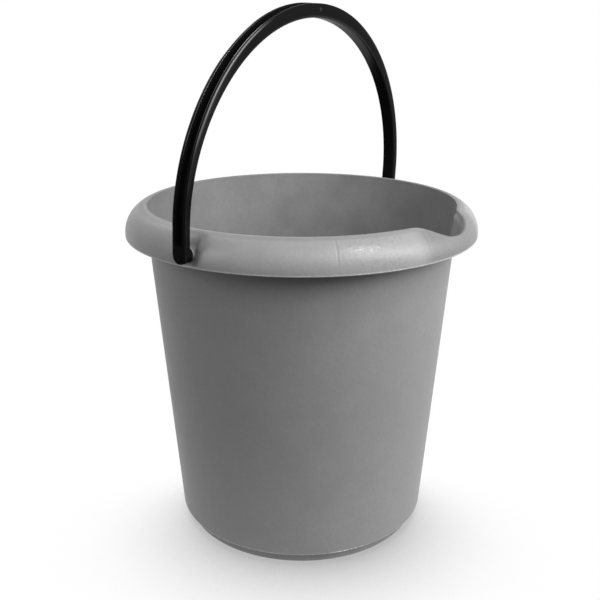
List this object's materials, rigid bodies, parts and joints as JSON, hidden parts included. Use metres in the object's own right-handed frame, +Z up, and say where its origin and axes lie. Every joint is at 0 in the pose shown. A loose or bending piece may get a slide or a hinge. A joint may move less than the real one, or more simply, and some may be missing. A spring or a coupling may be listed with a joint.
{
  "type": "cleaning bucket",
  "caption": "Round tapered plastic cleaning bucket with a hollow rolled rim, a pouring spout, a foot ring and a swinging bail handle that snaps into bosses in the rim.",
  "frame": {"origin": "centre of the foot ring, on the floor that the bucket stands on", "axes": "+Z up along the tub's axis, X along the handle's pivot axis, -Y towards the pouring spout"},
  "size_m": [0.3018, 0.2872, 0.4302],
  "materials": {
    "tub_plastic": "fine satin grain of injection-moulded polypropylene, mid grey",
    "handle_plastic": "smooth satin, black"
  },
  "bodies": {
    "tub": {"tub": "tub_plastic"},
    "bail": {"bail_handle": "handle_plastic"}
  },
  "joints": [
    {"name": "bail_swing", "type": "hinge", "parent": "tub", "child": "bail", "pos_m": [0, 0, 0.2629], "axis": [1, 0, 0], "range_deg": [-131.9, 125.9]}
  ]
}
